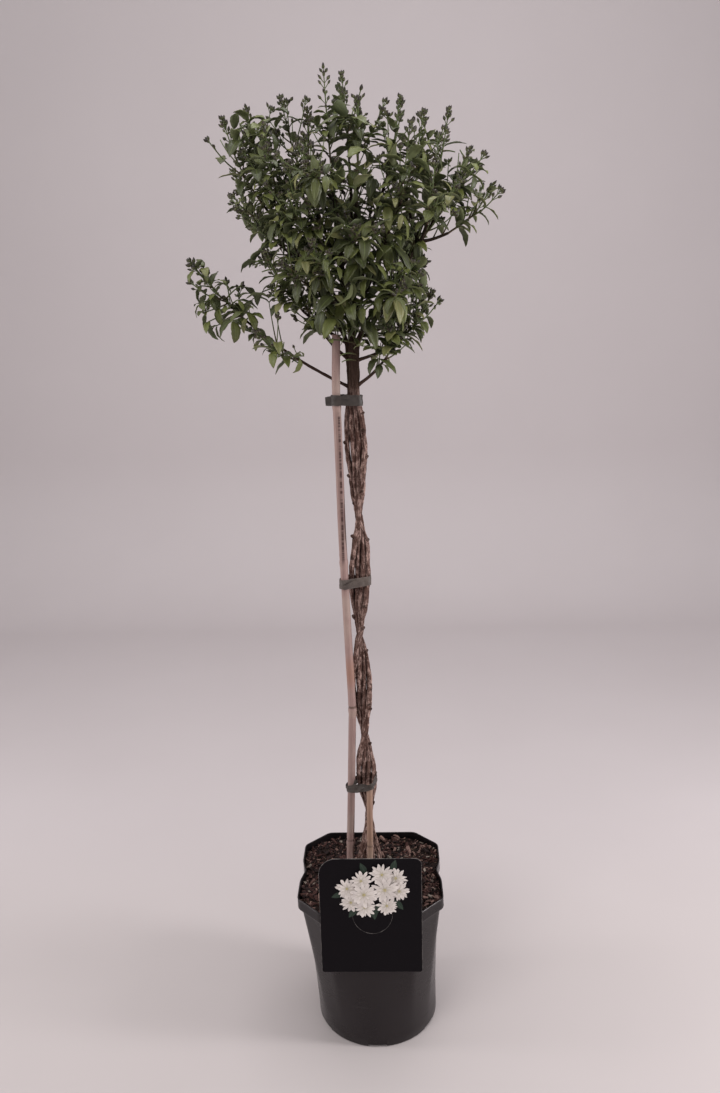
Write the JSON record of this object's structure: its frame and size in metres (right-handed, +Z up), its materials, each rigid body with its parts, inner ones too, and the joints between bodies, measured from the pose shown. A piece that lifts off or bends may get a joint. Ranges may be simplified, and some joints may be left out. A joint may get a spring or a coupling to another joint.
{
  "type": "potted mock orange",
  "caption": "Mock orange trained as a small standard tree with a twisted trunk and a leafy crown in bud, tied to canes in a nursery pot with a hang-on label card",
  "frame": {"origin": "centre of the pot's base, on the ground", "axes": "+Z up along the pot's axis; -Y towards the side where the label card hangs; +X to the right when the card is faced, the long side branch of the crown pointing towards -X"},
  "size_m": [0.3511, 0.2148, 1.149],
  "materials": {
    "pot_plastic": "moulded, softly glossy",
    "bark_soil": "rough bark chips",
    "bamboo": "dry cane, satin",
    "bamboo_pale": "dry cane, satin",
    "tie_tape": "soft stretched tape, satin",
    "label_card": "printed sheet, satin",
    "bark": "peeling bark",
    "foliage": "living leaves, satin"
  },
  "bodies": {
    "root": {"bark_soil": "bark_soil", "label_card": "label_card", "long_cane": "bamboo", "pot": "pot_plastic", "short_cane": "bamboo_pale", "spray_fill_01": "foliage", "spray_fill_02": "foliage", "spray_fill_03": "foliage", "spray_fill_04": "foliage", "spray_fill_05": "foliage", "spray_fill_06": "foliage", "spray_fill_07": "foliage", "spray_fill_08": "foliage", "spray_fill_09": "foliage", "spray_fill_10": "foliage", "spray_fill_11": "foliage", "spray_fill_12": "foliage", "spray_fill_13": "foliage", "spray_fill_14": "foliage", "spray_fill_15": "foliage", "spray_front_left": "foliage", "spray_left_arm": "foliage", "spray_left_back": "foliage", "spray_left_crest": "foliage", "spray_left_front": "foliage", "spray_left_inner": "foliage", "spray_low_right": "foliage", "spray_lower_right": "foliage", "spray_right_back": "foliage", "spray_right_crest": "foliage", "spray_right_front": "foliage", "spray_right_shoulder": "foliage", "spray_right_tip": "foliage", "spray_side_front_left": "foliage", "spray_side_left_arm": "foliage", "spray_side_left_front": "foliage", "spray_side_left_inner": "foliage", "spray_side_top_leader": "foliage", "spray_side_top_left": "foliage", "spray_side_top_left_front": "foliage", "spray_side_upper_left": "foliage", "spray_top_front": "foliage", "spray_top_leader": "foliage", "spray_top_left": "foliage", "spray_top_left_front": "foliage", "spray_top_middle": "foliage", "spray_top_right": "foliage", "spray_upper_left": "foliage", "spray_upper_right": "foliage", "stem_1": "bark", "stem_2": "bark", "stem_3": "bark", "stem_4": "bark", "tie_lower": "tie_tape", "tie_middle": "tie_tape", "tie_upper": "tie_tape"}
  },
  "joints": []
}
